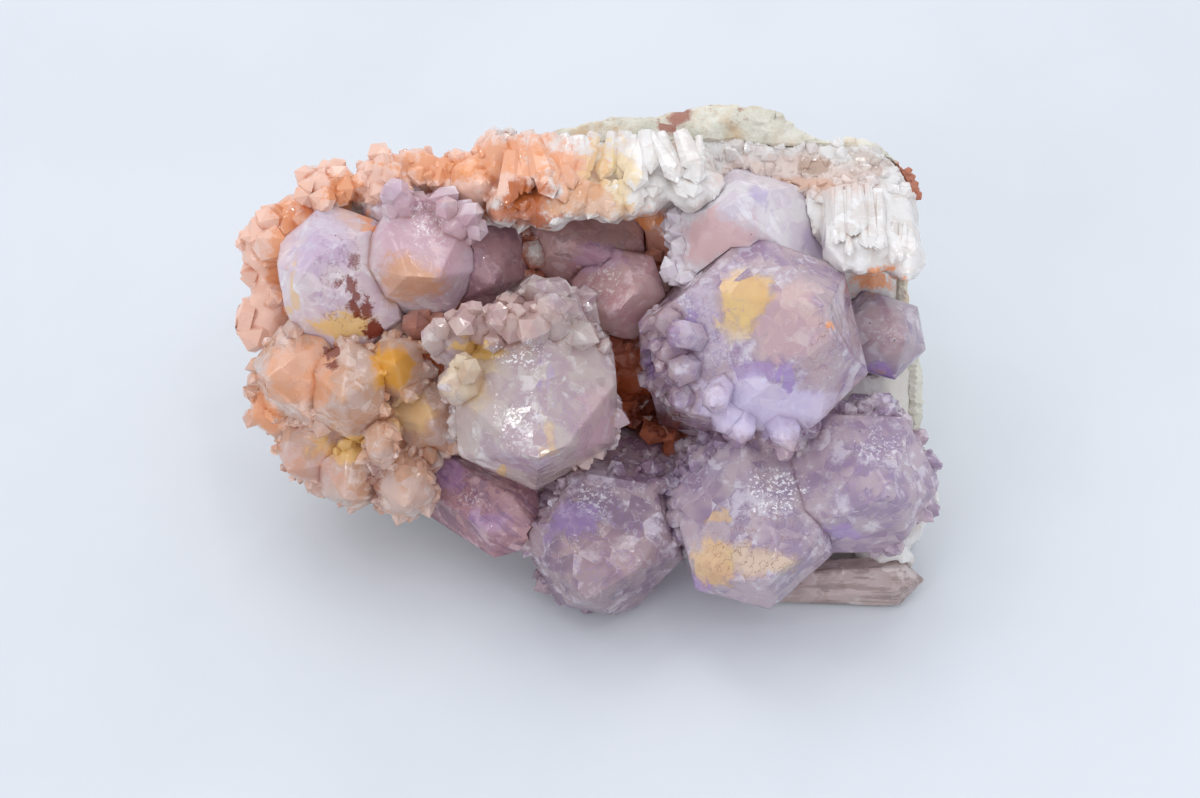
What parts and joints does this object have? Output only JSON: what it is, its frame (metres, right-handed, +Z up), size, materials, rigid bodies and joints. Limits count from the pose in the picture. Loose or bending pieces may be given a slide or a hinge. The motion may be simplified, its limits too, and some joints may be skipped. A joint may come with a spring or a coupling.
{
  "type": "spirit quartz on matrix",
  "caption": "Hand specimen of spirit quartz: pale amethyst points coated in small crystals, on a band of columnar quartz bonded to a rind of host rock, resting on its broken underside.",
  "frame": {"origin": "middle of the specimen's footprint, on the surface that it rests on", "axes": "+X across the specimen, its longest way; +Y away from the side that the points face; +Z up"},
  "size_m": [0.0808, 0.0562, 0.0431],
  "materials": {
    "amethyst_points": "glassy crystal faces, pale lavender with purple zones",
    "cream_quartz": "glassy crystal faces, cream to pale lavender with ochre stains",
    "stained_quartz": "glassy small crystals stained orange by iron",
    "recess_amethyst": "glassy crystal faces, mauve",
    "smoky_quartz": "glassy prism, smoky brown",
    "columnar_quartz": "milky white fibrous quartz with orange stains, crusted with small crystals",
    "host_rock": "matt grey-green to brown rock"
  },
  "bodies": {
    "root": {"centre_quartz_point": "cream_quartz", "front_right_amethyst_point": "amethyst_points", "lower_right_amethyst_pair": "amethyst_points", "lower_middle_amethyst_point": "amethyst_points", "upper_left_quartz_pair": "cream_quartz", "left_quartz_cluster": "stained_quartz", "lower_left_amethyst_prism": "recess_amethyst", "recess_amethyst_pair": "recess_amethyst", "recess_left_amethyst_point": "recess_amethyst", "upper_right_amethyst_point": "amethyst_points", "right_edge_amethyst_point": "amethyst_points", "bottom_smoky_prism": "smoky_quartz", "columnar_quartz_base": "columnar_quartz", "host_rock_rind": "host_rock"}
  },
  "joints": []
}
